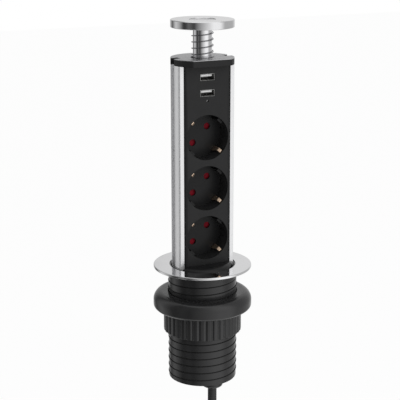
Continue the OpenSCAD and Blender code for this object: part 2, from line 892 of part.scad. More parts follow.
// Cord, its coil and the plug
module straight_cord(points) {
    swept_tube(points, [for (p = points) [1, 0, 0]], cord_d / 2, cord_sides);
}

module cord() {
    color([0.12, 0.12, 0.12]) straight_cord(cord_points);
}

module cord_tail() {
    color([0.12, 0.12, 0.12]) straight_cord(tail_points);
}

// The coil winds in on its front layer, crosses in the half turn where it reverses and winds out behind
function coil_radius(t) = coil_outer_r - coil_step * min(t, coil_turns - t);
function ease(x) = x <= 0 ? 0 : x >= 1 ? 1 : x * x * (3 - 2 * x);
function coil_layer(t) = cord_y + coil_step * ease((t - coil_turns / 2 + 0.25) / 0.5);
function coil_point(t) = [
    coil_mid_x + coil_radius(t) * cos(-360 * t), coil_layer(t), coil_z + coil_radius(t) * sin(-360 * t)
];
coil_path = concat(
    [[cord_x, cord_y, coil_z + cord_d]],
    [for (i = [0:coil_steps]) coil_point(i / coil_rings)],
    [[cord_x, cord_y + coil_step, coil_z - cord_d]]
);
echo(coil_self_gap = self_gap(coil_path, coil_apart, cord_d));

module cord_coil() {
    color([0.12, 0.12, 0.12]) swept_tube(coil_path, [for (p = coil_path) [0, 1, 0]], cord_d / 2, coil_sides);
}

module cord_tie() {
    inner_x = coil_mid_x - coil_radius(coil_turns / 2) + cord_d / 2 + tie_gap;
    outer_x = coil_mid_x - coil_radius(0.5) - cord_d / 2 - tie_gap;
    front_y = cord_y - cord_d / 2 - tie_gap;
    rear_y = cord_y + coil_step + cord_d / 2 + tie_gap;
    color([0.2, 0.2, 0.2]) translate([outer_x, front_y, coil_z - tie_w / 2]) difference() {
        translate([-tie_t, -tie_t, 0]) cube([inner_x - outer_x + 2 * tie_t, rear_y - front_y + 2 * tie_t, tie_w]);
        translate([0, 0, -cut]) cube([inner_x - outer_x, rear_y - front_y, tie_w + 2 * cut]);
    }
}

module at_plug() {
    translate([cord_x, cord_y + coil_step, plug_z]) children();
}

module plug_relief() {
    color([0.1, 0.1, 0.1]) at_plug() cylinder(h = relief_len, r1 = relief_bottom_r, r2 = relief_top_r);
}

module plug_body() {
    face_z = -plug_grip - plug_insert;
    color([0.1, 0.1, 0.1]) at_plug() difference() {
        rotate_extrude() polygon([
            [0, face_z], [plug_r - plug_edge, face_z], [plug_r, face_z + plug_edge], [plug_r, -plug_grip + plug_slope],
            [plug_neck_r + plug_slope, -plug_grip / 2], [plug_neck_r, -plug_slope], [plug_neck_r - plug_slope, 0], [0, 0]
        ]);
        for (s = [-1, 1]) translate([
            s * (plug_r + plug_slot_in) - plug_slot_w / 2 - s * plug_slot_w / 2, -rib_w / 2 - plug_slot_slack, face_z - cut
        ]) cube([plug_slot_w, rib_w + 2 * plug_slot_slack, plug_insert + cut - plug_slope / 2]);
        for (s = [-1, 1]) translate([
            -earth_slot_w / 2, s * (plug_r + earth_slot_in) - plug_slot_w / 2 - s * plug_slot_w / 2, face_z - cut
        ]) cube([earth_slot_w, plug_slot_w, plug_insert + cut - plug_slope]);
    }
}

module plug_pins() {
    color([0.8, 0.8, 0.82]) at_plug() for (s = [-1, 1])
        translate([s * pin_pitch / 2, 0, -plug_grip - plug_insert - plug_pin_len]) {
            translate([0, 0, plug_pin_r]) cylinder(h = plug_pin_len - plug_pin_r, r = plug_pin_r);
            translate([0, 0, plug_pin_r]) sphere(plug_pin_r);
        }
}

module plug_earth() {
    seat = plug_r + earth_slot_in - plug_slot_w;
    color([0.8, 0.65, 0.4]) at_plug() for (s = [0, 180])
        rotate(s) translate([-earth_strip_w / 2, seat, -plug_grip - plug_insert + plug_edge])
            cube([earth_strip_w, earth_strip_t, plug_insert - plug_slope - 2 * plug_edge]);
}

// Lift cap with its tube and spring
module cap_disc() {
    color([0.8, 0.8, 0.82]) translate([0, 0, cap_z]) difference() {
        rotate_extrude() polygon([
            [0, 0], [cap_r - cap_edge, 0], [cap_r, cap_edge], [cap_r, cap_t - cap_bevel], [cap_r - cap_bevel, cap_t], [0, cap_t]
        ]);
        translate([0, 0, cap_floor_t]) cylinder(h = cap_t, r = button_r + fit_gap);
        translate([0, 0, -cut]) cylinder(h = cap_t, r = tube_r);
    }
}

module guide_tube() {
    color([0.85, 0.85, 0.87]) difference() {
        translate([0, 0, tube_z]) cylinder(h = cap_z + cap_floor_t - tube_z, r = tube_r);
        translate([0, 0, tube_z - cut]) cylinder(h = cap_z + cap_floor_t - tube_z + 2 * cut, r = tube_in);
    }
}

// Lift spring: its first and last half turns flatten on to their seats
function spring_height(t) = t < 0.5 ? spring_rise * t * t
    : t > spring_turns - 0.5 ? spring_high - spring_low - spring_rise * pow(spring_turns - t, 2)
    : spring_rise * (t - 0.25);
function spring_point(t) = [
    curl_vertex_r * cos(360 * t), curl_vertex_r * sin(360 * t), spring_low + spring_height(t)
];
spring_path = [for (i = [0:spring_steps]) spring_point(i / curl_rings)];
echo(spring_self_gap = self_gap(spring_path, spring_apart, wire_d));

module lift_spring() {
    color([0.7, 0.7, 0.72]) swept_tube(
        spring_path, [for (i = [0:spring_steps]) [cos(360 * i / curl_rings), sin(360 * i / curl_rings), 0]],
        wire_d / 2, wire_sides
    );
}

// Release button, its rod and its ring spring
module release_button() {
    color([0.7, 0.7, 0.72]) translate([0, 0, button_z]) rotate_extrude() polygon([
        [0, 0], [button_r, 0], [button_r, button_t - button_edge], [button_r - button_edge, button_t], [0, button_t]
    ]);
}

module release_rod() {
    color([0.6, 0.6, 0.62]) translate([0, 0, rod_z]) cylinder(h = button_z - rod_z, r = rod_r);
}

module button_spring() {
    outer = button_r - ring_spring_inset;
    color([0.6, 0.6, 0.62]) difference() {
        translate([0, 0, cap_z + cap_floor_t]) cylinder(h = button_z - cap_z - cap_floor_t, r = outer);
        translate([0, 0, cap_z]) cylinder(h = cap_t, r = outer - ring_spring_w);
    }
}

trim_ring();
ring_gasket();
collar_sleeve();
guide_pads();
clamp_washer();
clamp_nut();
tower_profile();
face_plate();
lower_cover();
end_cap();
top_plate();
end_cap_screws();
guide_post();
socket_cup(1);  // socket_cup_1
socket_cup(2);  // socket_cup_2
socket_cup(3);  // socket_cup_3
contact_block(1);  // contact_block_1
contact_block(2);  // contact_block_2
contact_block(3);  // contact_block_3
earth_clip(1);  // earth_clip_1
earth_clip(2);  // earth_clip_2
earth_clip(3);  // earth_clip_3
shutter(1);  // shutter_1
shutter(2);  // shutter_2
shutter(3);  // shutter_3
live_rail();
neutral_rail();
earth_rail();
usb_board();
usb_converter();
usb_shell(1);  // usb_shell_1
usb_shell(2);  // usb_shell_2
usb_tongue(1);  // usb_tongue_1
usb_tongue(2);  // usb_tongue_2
light_pipe();
bottom_cap();
bottom_cap_screws();
terminal_block();
rail_leads();
core_leads();
cable_gland();
gland_nut();
cord();
cord_coil();
cord_tail();
cord_tie();
plug_relief();
plug_body();
plug_pins();
plug_earth();
cap_disc();
guide_tube();
lift_spring();
release_button();
release_rod();
button_spring();
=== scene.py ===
import math

import bpy
from bpy.props import FloatProperty, FloatVectorProperty, IntProperty, PointerProperty
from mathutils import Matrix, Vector


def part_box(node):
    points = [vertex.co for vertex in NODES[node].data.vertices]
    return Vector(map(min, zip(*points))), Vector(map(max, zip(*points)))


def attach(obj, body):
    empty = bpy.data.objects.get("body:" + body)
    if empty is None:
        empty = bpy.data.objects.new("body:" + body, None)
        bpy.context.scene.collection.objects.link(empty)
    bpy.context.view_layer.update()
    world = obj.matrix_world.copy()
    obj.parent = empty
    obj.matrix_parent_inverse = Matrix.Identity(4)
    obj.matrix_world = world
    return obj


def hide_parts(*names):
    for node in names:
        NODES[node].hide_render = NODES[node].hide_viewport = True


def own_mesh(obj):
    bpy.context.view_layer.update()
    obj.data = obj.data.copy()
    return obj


bl_info = {
    "name": "Pull-up power tower",
    "version": (1, 0, 0),
    "blender": (4, 5, 0),
    "location": "View3D > Sidebar > Power tower",
    "description": "Models and finishes a pull-up power tower for a worktop, piece by piece",
    "category": "Object",
}

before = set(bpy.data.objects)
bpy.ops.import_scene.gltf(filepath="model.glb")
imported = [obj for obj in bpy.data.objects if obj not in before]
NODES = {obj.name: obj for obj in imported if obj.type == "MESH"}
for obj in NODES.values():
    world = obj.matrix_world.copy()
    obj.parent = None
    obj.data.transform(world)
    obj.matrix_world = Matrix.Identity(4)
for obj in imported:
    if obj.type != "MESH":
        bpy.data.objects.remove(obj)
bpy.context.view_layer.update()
MM = 0.001
VIEW_BEARING = -25
SOCKETS = (1, 2, 3)
PORTS = (1, 2)

# Heights above the worktop's top, radii, depths behind the tower's axis, and strokes, in millimetres
CAP_RADIUS, CAP_FOOT, CAP_FLOOR, CAP_TOP = 27.0, 209.5, 211.2, 216.1
RECESS_RADIUS = 11.2
BUTTON_FOOT, BUTTON_TOP = 213.7, 215.5
TUBE_BORE, TUBE_RADIUS, TUBE_FOOT = 7.4, 8.1, 183.6
SPRING_SEAT = 180.0
RING_BORE, RING_RADIUS, RING_TOP = 29.0, 43.0, 2.6
GASKET_TOP = 0.6
FACE_FRONT, SHUTTER_FRONT = -10.4, 7.5
CUP_RIM, CUP_FLOOR = -7.9, 5.4
TOWER_FOOT, PROFILE_FOOT = -98, -94
COLLAR_BORE, COLLAR_RADIUS, COLLAR_FOOT = 27.5, 30, -101.8
CLAMP_BORE = 30.75
NUT_RADIUS, NUT_FOOT, NUT_TOP = 34.4, -58.1, -37.1
LEAD_X, LEAD_Y, TAIL_Y = 6, -8, 0.6
GLAND_BORE, GLAND_FOOT, GLAND_NECK = 4.25, -112, -101
SLEEVE_TOP, SLEEVE_FOOT = -275, -301

# Steps of curved pieces
RINGS_A_TURN = 48
THREAD_STEPS = 72
RIB_STEPS = 12
# Depth of a nut's groove, in millimetres, with the steps from its middle that lie at that depth
NUT_GROOVE = ((0.84, (0,)), (0.72, (-1, 1)), (0.3, (-2, 2)))


# Sizes and colours

def size_in_mm(name, about, value):
    return FloatProperty(name=name, description=about, default=value * MM, unit="LENGTH")


def colour_choice(name, about, *value):
    return FloatVectorProperty(name=name, description=about, subtype="COLOR", size=3, default=value, min=0, max=1)


class TowerSizes(bpy.types.PropertyGroup):
    cap_edge: size_in_mm("Cap edge", "Width of the slope round the lift cap's top", 0.5)
    spring_wire: size_in_mm("Spring wire", "Thickness of the lift spring's wire", 0.9)
    spring_radius: size_in_mm("Spring radius", "Radius of the lift spring to the middle of its wire", 9.0)
    spring_turns: IntProperty(name="Spring turns", description="Number of turns of the lift spring", default=6, min=2)
    thread_pitch: size_in_mm("Thread pitch", "Rise of one turn of the collar's thread", 6.6)
    thread_turns: FloatProperty(name="Thread turns", description="Turns of the collar's thread", default=13.91)
    nut_ribs: IntProperty(name="Nut ribs", description="Number of ribs round the clamp nut", default=36, min=8)
    lead_diameter: size_in_mm("Lead diameter", "Diameter of the mains lead", 8.0)
    coil_turns: IntProperty(name="Coil turns", description="Turns of the lead's coil", default=5, min=1)
    coil_radius: size_in_mm("Coil radius", "Radius of the coil's outermost turn", 54.8)
    coil_step: size_in_mm("Coil step", "Distance from one turn or layer of the coil to the next", 8.6)
    crisp_edge: size_in_mm("Crisp edge", "Rounding of machined and moulded edges", 0.18)


class TowerColours(bpy.types.PropertyGroup):
    aluminium: colour_choice("Aluminium", "Satin anodised profile", 0.77, 0.77, 0.78)
    steel: colour_choice("Steel", "Turned steel of the lift cap", 0.77, 0.77, 0.78)
    face: colour_choice("Socket face", "Matt black plastic of the face", 0.0125, 0.0125, 0.013)
    black: colour_choice("Black plastic", "Black plastic of the collar and the clamp", 0.017, 0.017, 0.0175)
    shutter: colour_choice("Shutter red", "Red plastic of the shutters", 0.21, 0.0045, 0.014)
    brass: colour_choice("Brass", "Coppery brass of the earth clips and rails", 0.88, 0.67, 0.5)
    rubber: colour_choice("Rubber", "Black sheath of the mains lead", 0.016, 0.016, 0.0165)
    floor: colour_choice("Floor", "Pale floor", 0.9, 0.9, 0.9)


def sizes():
    return bpy.context.scene.tower_sizes


def colours():
    return bpy.context.scene.tower_colours


# Finishes

class Finish:
    """A node material that is built up step by step: a shader, then grain, streaks and relief on it"""

    def __init__(self, name, colour, roughness, metal=0.0, **constants):
        self.material = bpy.data.materials.new(name)
        self.material.use_nodes = True
        self.nodes = self.material.node_tree.nodes
        self.links = self.material.node_tree.links
        self.nodes.clear()
        self.shader = self.nodes.new("ShaderNodeBsdfPrincipled")
        self.output = self.nodes.new("ShaderNodeOutputMaterial")
        self.links.new(self.shader.outputs["BSDF"], self.output.inputs["Surface"])
        self.shader.inputs["Base Color"].default_value = (*colour, 1)
        self.shader.inputs["Roughness"].default_value = roughness
        self.shader.inputs["Metallic"].default_value = metal
        for socket, value in constants.items():
            self.shader.inputs[socket.replace("_", " ").title().replace("Ior", "IOR")].default_value = value
        self.colour = tuple(colour)
        self.roughness = roughness
        self.bump = None

    def place(self, stretch=(1, 1, 1)):
        """Object coordinates, stretched along the axes"""
        where = self.nodes.new("ShaderNodeTexCoord")
        mapping = self.nodes.new("ShaderNodeMapping")
        mapping.inputs["Scale"].default_value = stretch
        self.links.new(where.outputs["Object"], mapping.inputs["Vector"])
        return mapping.outputs["Vector"]

    def noise(self, scale, detail, stretch=(1, 1, 1)):
        node = self.nodes.new("ShaderNodeTexNoise")
        node.inputs["Scale"].default_value = scale
        node.inputs["Detail"].default_value = detail
        node.inputs["Roughness"].default_value = 0.55
        self.links.new(self.place(stretch), node.inputs["Vector"])
        return node.outputs["Fac"]

    def rings(self, scale):
        node = self.nodes.new("ShaderNodeTexWave")
        node.wave_type = "RINGS"
        node.rings_direction = "Z"
        node.inputs["Scale"].default_value = scale
        node.inputs["Distortion"].default_value = 1.5
        node.inputs["Detail"].default_value = 3
        node.inputs["Detail Scale"].default_value = 2
        self.links.new(self.place(), node.inputs["Vector"])
        return node.outputs["Fac"]

    def spread(self, fac, low, high):
        node = self.nodes.new("ShaderNodeMapRange")
        node.inputs["From Min"].default_value = 0.25
        node.inputs["From Max"].default_value = 0.75
        node.inputs["To Min"].default_value = low
        node.inputs["To Max"].default_value = high
        self.links.new(fac, node.inputs["Value"])
        return node.outputs["Result"]

    def mottle(self, fac, amount):
        """The colour runs a little darker and lighter with a pattern"""
        node = self.nodes.new("ShaderNodeMix")
        node.data_type = "RGBA"
        node.inputs["A"].default_value = (*[c * (1 - amount) for c in self.colour], 1)
        node.inputs["B"].default_value = (*[min(1, c * (1 + amount)) for c in self.colour], 1)
        self.links.new(self.spread(fac, 0, 1), node.inputs["Factor"])
        self.links.new(node.outputs["Result"], self.shader.inputs["Base Color"])
        return self

    def wear(self, fac, amount):
        """The roughness runs a little up and down with a pattern"""
        rougher = self.spread(fac, self.roughness - amount, self.roughness + amount)
        self.links.new(rougher, self.shader.inputs["Roughness"])
        return self

    def relief(self, fac, depth, strength):
        """The pattern stands up from the surface by a depth in metres"""
        node = self.nodes.new("ShaderNodeBump")
        node.inputs["Strength"].default_value = strength
        node.inputs["Distance"].default_value = depth
        self.links.new(fac, node.inputs["Height"])
        if self.bump:
            self.links.new(self.bump, node.inputs["Normal"])
        self.bump = node.outputs["Normal"]
        self.links.new(self.bump, self.shader.inputs["Normal"])
        return self

    def turned(self):
        """Fine rings round the upright axis pull the gloss out along the radius"""
        node = self.nodes.new("ShaderNodeTangent")
        node.direction_type = "RADIAL"
        node.axis = "Z"
        self.links.new(node.outputs["Tangent"], self.shader.inputs["Tangent"])
        return self


def satin_aluminium(colour):
    finish = Finish("satin_anodised_aluminium", colour, 0.24, 0.7)
    streaks = finish.noise(1400, 2, (1, 1, 0.012))
    finish.mottle(streaks, 0.035).wear(streaks, 0.05).relief(streaks, 0.004 * MM, 0.5)
    return finish.relief(finish.noise(9000, 1), 0.002 * MM, 0.4).material


def turned_steel(name, colour, roughness):
    finish = Finish(name, colour, roughness, 1.0, anisotropic=0.3)
    lines = finish.rings(900)
    return finish.mottle(finish.noise(90, 4), 0.03).wear(lines, 0.04).relief(lines, 0.001 * MM, 0.5).turned().material


def brushed_steel(colour):
    finish = Finish("brushed_steel", colour, 0.38, 1.0)
    lines = finish.noise(1600, 3, (0.02, 1, 1))
    return finish.mottle(lines, 0.05).wear(lines, 0.06).relief(lines, 0.003 * MM, 0.5).material


def polished_steel(colour):
    finish = Finish("polished_steel", colour, 0.09, 1.0)
    smears = finish.noise(70, 5)
    return finish.mottle(smears, 0.02).wear(smears, 0.03).relief(finish.rings(1300), 0.0006 * MM, 0.35).material


def chromed(colour):
    finish = Finish("chromed_tube", colour, 0.07, 1.0)
    return finish.wear(finish.noise(120, 4), 0.03).mottle(finish.noise(60, 3), 0.02).material


def spring_wire(colour):
    finish = Finish("drawn_spring_wire", colour, 0.22, 1.0)
    return finish.mottle(finish.noise(700, 3), 0.08).wear(finish.noise(1500, 2), 0.06).material


def moulded_plastic(name, colour, roughness, grain=0.012, **constants):
    """Moulded plastic with a spark-eroded grain and faint flow marks"""
    finish = Finish(name, colour, roughness, **constants)
    finish.mottle(finish.noise(60, 4), 0.1).wear(finish.noise(220, 4), 0.05)
    return finish.relief(finish.noise(2600, 3), grain * MM, 0.6).material


def glossy_plastic(name, colour, roughness, **constants):
    finish = Finish(name, colour, roughness, **constants)
    finish.mottle(finish.noise(80, 3), 0.08).wear(finish.noise(150, 4), 0.03)
    return finish.relief(finish.noise(90, 2), 0.004 * MM, 0.3).material


def sheath_rubber(colour):
    finish = Finish("sheath_rubber", colour, 0.5)
    finish.mottle(finish.noise(140, 4), 0.15).wear(finish.noise(400, 3), 0.08)
    return finish.relief(finish.noise(1500, 3), 0.015 * MM, 0.5).material


def plain_metal(name, colour, roughness):
    finish = Finish(name, colour, roughness, 1.0)
    finish.mottle(finish.noise(300, 4), 0.07).wear(finish.noise(700, 3), 0.07)
    return finish.relief(finish.noise(2200, 2), 0.003 * MM, 0.5).material


def lens_painted_light():
    # Painted light: the lens is coloured light grey so the sunken dot reads lighter than its shade leaves it
    finish = Finish("light_lens", (0.55, 0.55, 0.55), 0.3)
    return finish.mottle(finish.noise(900, 2), 0.06).wear(finish.noise(900, 2), 0.05).material


def lacquered_board():
    finish = Finish("lacquered_board", (0.015, 0.09, 0.035), 0.3)
    tracks = finish.noise(350, 1, (1, 1, 0.15))
    return finish.mottle(tracks, 0.35).wear(tracks, 0.08).relief(tracks, 0.02 * MM, 0.5).material


FINISHES = {}


def finish_of(name):
    """Each finish is made once, when the first piece asks for it"""
    makers = {
        "aluminium": lambda: satin_aluminium(colours().aluminium),
        "turned_steel": lambda: turned_steel("turned_steel", colours().steel, 0.09),
        "button_steel": lambda: turned_steel("button_steel", [0.7, 0.7, 0.71], 0.26),
        "polished_steel": lambda: polished_steel([0.84, 0.84, 0.85]),
        "chrome": lambda: chromed([0.8, 0.8, 0.81]),
        "spring": lambda: spring_wire([0.34, 0.34, 0.35]),
        "face": lambda: moulded_plastic("face_plastic", colours().face, 0.46, specular_ior_level=0.25),
        "cup": lambda: moulded_plastic("cup_plastic", [0.016, 0.016, 0.0165], 0.32, 0.006, specular_ior_level=0.16),
        "black": lambda: moulded_plastic("black_plastic", colours().black, 0.2, 0.002),
        "cap_black": lambda: moulded_plastic(
            "end_cap_plastic", [0.012, 0.012, 0.0125], 0.5, 0.006, specular_ior_level=0.25,
        ),
        "plate": lambda: brushed_steel([0.43, 0.43, 0.44]),
        # The thread is coloured darker than the collar: painted shade for the dark line under each ridge
        "thread": lambda: moulded_plastic("thread_plastic_painted_shade", [0.006, 0.006, 0.0062], 0.6, specular_ior_level=0.2),
        "gloss": lambda: glossy_plastic("glossy_cover", [0.009, 0.009, 0.0095], 0.35, specular_ior_level=0.25),
        "plug": lambda: glossy_plastic("plug_plastic", [0.012, 0.012, 0.013], 0.32),
        "rubber": lambda: sheath_rubber(colours().rubber),
        "shutter": lambda: glossy_plastic("shutter_plastic", colours().shutter, 0.4, specular_ior_level=0.08),
        "brass": lambda: plain_metal("bright_brass", colours().brass, 0.4),
        "shell": lambda: plain_metal("port_shell_plate", [0.3, 0.3, 0.295], 0.5),
        "nickel": lambda: plain_metal("nickel_plate", [0.45, 0.445, 0.43], 0.3),
        "zinc": lambda: plain_metal("zinc_plate", [0.55, 0.56, 0.58], 0.34),
        "gold": lambda: plain_metal("gold_contact", [0.55, 0.47, 0.33], 0.25),
        "white": lambda: glossy_plastic("white_tongue", [0.97, 0.97, 0.96], 0.3),
        "nylon": lambda: moulded_plastic("natural_nylon", [0.62, 0.61, 0.55], 0.4),
        "grey": lambda: moulded_plastic("grey_block", [0.2, 0.2, 0.215], 0.45),
        "converter": lambda: moulded_plastic("converter_case", [0.03, 0.03, 0.035], 0.4),
        "board": lacquered_board,
        "live_core": lambda: glossy_plastic("core_insulation", [0.22, 0.09, 0.035], 0.35),
        "lens": lens_painted_light,
    }
    if name not in FINISHES:
        FINISHES[name] = makers[name]()
    return FINISHES[name]


# Ways of shaping

SHARP_ANGLE = math.radians(28)
SAME_POINT = 0.001 * MM
SAME_PLANE = 0.004 * MM


def put_down():
    """Back to object mode, with nothing selected"""
    if bpy.context.mode != "OBJECT":
        bpy.ops.object.mode_set(mode="OBJECT")
    bpy.ops.object.select_all(action="DESELECT")


def take(piece):
    put_down()
    piece.select_set(True)
    bpy.context.view_layer.objects.active = piece


def open_mesh(piece, chosen="SELECT"):
    take(piece)
    bpy.ops.object.mode_set(mode="EDIT")
    bpy.ops.mesh.select_mode(type="VERT")
    bpy.ops.mesh.select_all(action=chosen)


def close_skin(piece):
    """Doubles are merged, then the faces are turned outwards"""
    open_mesh(piece)
    bpy.ops.mesh.remove_doubles(threshold=SAME_POINT)
    bpy.ops.mesh.select_all(action="SELECT")
    bpy.ops.mesh.normals_make_consistent(inside=False)
    put_down()


def pick_points(piece, test):
    """Opens the mesh with only the points that pass the test selected"""
    open_mesh(piece, "DESELECT")
    bpy.ops.object.mode_set(mode="OBJECT")
    for point in piece.data.vertices:
        point.select = test(point.co)
    bpy.ops.object.mode_set(mode="EDIT")


def modify(piece, kind, **settings):
    take(piece)
    modifier = piece.modifiers.new(kind.lower(), kind)
    for name, value in settings.items():
        setattr(modifier, name, value)
    bpy.ops.object.modifier_apply(modifier=modifier.name)


def ease_edges(piece, width=None, segments=2, miter="MITER_ARC"):
    """Rounds every sharp edge"""
    modify(
        piece, "BEVEL", width=width or sizes().crisp_edge, segments=segments, limit_method="ANGLE",
        angle_limit=SHARP_ANGLE, use_clamp_overlap=True, miter_outer=miter,
    )


def in_planes(axis, *places):
    """A test for edges that lie across an axis at one of the places, in millimetres"""
    def test(start, end):
        return any(max(abs(start[axis] - p * MM), abs(end[axis] - p * MM)) < SAME_PLANE for p in places)
    return test


def upright(start, end):
    """A test for long edges that stand upright"""
    across = max(abs(start.x - end.x), abs(start.y - end.y))
    return across < SAME_PLANE and abs(start.z - end.z) > 20 * MM


def ease_rims(piece, width, segments, test):
    """Rounds only the sharp edges that pass the test, so short edges elsewhere don't hold them back"""
    open_mesh(piece, "DESELECT")
    bpy.ops.mesh.select_mode(type="EDGE")
    bpy.ops.mesh.edges_select_sharp(sharpness=SHARP_ANGLE)
    bpy.ops.object.mode_set(mode="OBJECT")
    points = piece.data.vertices
    sharp = [edge.index for edge in piece.data.edges if edge.select]
    for group in (points, piece.data.edges, piece.data.polygons):
        group.foreach_set("select", [False] * len(group))
    for index in sharp:
        edge = piece.data.edges[index]
        start, end = (points[k] for k in edge.vertices)
        if test(start.co, end.co):
            edge.select = start.select = end.select = True
    bpy.ops.object.mode_set(mode="EDIT")
    bpy.ops.mesh.bevel(offset=width, segments=segments, affect="EDGES", clamp_overlap=False)
    put_down()


def smooth(piece, angle=32):
    take(piece)
    bpy.ops.object.shade_smooth_by_angle(angle=math.radians(angle))
    modify(piece, "WEIGHTED_NORMAL", keep_sharp=True, weight=80)
    put_down()


def turn_outline(name, outline, steps, at=(0.0, 0.0), closed=True):
    """A turned piece: its outline of (radius, height) in millimetres is drawn point by point and spun"""
    put_down()
    bpy.ops.mesh.primitive_plane_add(size=MM, location=(0, 0, 0))
    piece = bpy.context.object
    piece.name = piece.data.name = name
    points = [(at[0] + r * MM, z * MM) for r, z in outline]
    if closed:
        points.append(points[0])
    open_mesh(piece)
    bpy.ops.mesh.merge(type="CENTER")
    bpy.ops.mesh.select_all(action="SELECT")
    bpy.ops.transform.translate(value=(points[0][0], at[1], points[0][1]))
    for here, there in zip(points, points[1:]):
        step = (there[0] - here[0], 0, there[1] - here[1])
        bpy.ops.mesh.extrude_region_move(TRANSFORM_OT_translate={"value": step})
    bpy.ops.mesh.select_all(action="SELECT")
    bpy.ops.mesh.spin(steps=steps, angle=2 * math.pi, center=(at[0], at[1], 0), axis=(0, 0, 1))
    close_skin(piece)
    return piece


def arc(middle, radius, start, end, count):
    """Points of an outline's round corner, as (radius, height)"""
    turns = [math.radians(start + (end - start) * k / count) for k in range(count + 1)]
    return [(middle[0] + radius * math.cos(t), middle[1] + radius * math.sin(t)) for t in turns]


def traced(node, name, width=None, segments=2, rims=None, faces="whole"):
    """A copy of a frame piece with its edges or some rims eased. Its loose triangles are first joined into
    whole faces or into quads, or only turned to their best shape where a face has many holes"""
    piece = bpy.data.objects.new(name, NODES[node].data.copy())
    piece.data.name = name
    bpy.context.scene.collection.objects.link(piece)
    take(piece)
    bpy.ops.mesh.customdata_custom_splitnormals_clear()
    open_mesh(piece)
    bpy.ops.mesh.remove_doubles(threshold=SAME_POINT)
    bpy.ops.mesh.select_all(action="SELECT")
    if faces == "whole":
        bpy.ops.mesh.dissolve_limited(angle_limit=math.radians(0.4))
    elif faces == "quads":
        bpy.ops.mesh.tris_convert_to_quads(face_threshold=math.radians(1), shape_threshold=math.radians(180))
    else:
        bpy.ops.mesh.beautify_fill(angle_limit=math.radians(0.5))
    put_down()
    if rims:
        ease_rims(piece, width, segments, rims)
    elif width != 0:
        ease_edges(piece, width, segments, miter="MITER_SHARP")
    open_mesh(piece)
    bpy.ops.mesh.quads_convert_to_tris(quad_method="BEAUTY", ngon_method="BEAUTY")
    bpy.ops.mesh.select_all(action="SELECT")
    bpy.ops.mesh.dissolve_degenerate(threshold=SAME_POINT)
    put_down()
    smooth(piece)
    return piece


def turned_piece(name, outline, steps, edge, angle=32, **how):
    """A turned piece with its edges rounded by a width in millimetres"""
    piece = turn_outline(name, outline, steps, **how)
    ease_edges(piece, edge * MM)
    smooth(piece, angle)
    return piece


def join(name, *pieces):
    put_down()
    for piece in pieces:
        piece.select_set(True)
    bpy.context.view_layer.objects.active = pieces[0]
    bpy.ops.object.join()
    pieces[0].name = pieces[0].data.name = name
    return pieces[0]


def tube_along(name, path, radius, sides):
    """A round tube along a path, drawn as a curve and made a mesh"""
    line = bpy.data.curves.new(name, "CURVE")
    line.dimensions = "3D"
    line.bevel_depth = radius
    line.bevel_resolution = max(0, sides // 2 - 2)
    line.use_fill_caps = True
    spline = line.splines.new("POLY")
    spline.points.add(len(path) - 1)
    for point, place in zip(spline.points, path):
        point.co = (*place, 1)
    spline.use_smooth = True
    piece = bpy.data.objects.new(name, line)
    bpy.context.scene.collection.objects.link(piece)
    take(piece)
    bpy.ops.object.convert(target="MESH")
    piece = bpy.context.object
    piece.data.name = name
    close_skin(piece)
    take(piece)
    bpy.ops.object.shade_smooth_by_angle(angle=math.radians(60))
    put_down()
    return piece


def settle(piece, body, slot, finish, *nodes):
    """The piece gets its finish, rides on its body and stands for its frame pieces"""
    piece.data.materials.clear()
    piece.data.materials.append(finish_of(finish))
    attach(piece, body)
    if nodes:
        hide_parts(*nodes)
    return piece


def dress(node, name, body, slot, finish, edge, **how):
    """A traced copy of one frame piece, with its edges eased by a width in millimetres, stands for that piece"""
    return settle(traced(node, name, edge * MM, **how), body, slot, finish, node)


def coat(node, finish):
    """A frame piece keeps its shape and gets a finish"""
    NODES[node].data.materials.clear()
    NODES[node].data.materials.append(finish_of(finish))


# The stage

# The round screen's light by bearing from the camera's side, positive to the right: a broad light panel on
# the right, a broad dark strip on the left with a narrow one beyond it, and a light wall behind the tower
SCREEN_LEVELS = (
    (-180, 0.75), (-150, 0.5), (-130, 0.1), (-105, 0.7), (-85, 0.4), (-70, 0.05), (-60, 0.05), (-48, 0.15),
    (-28, 0.05), (-5, 0.4), (40, 1.05), (65, 1.05), (85, 0.5), (130, 0.5), (150, 0.7), (180, 0.75),
)


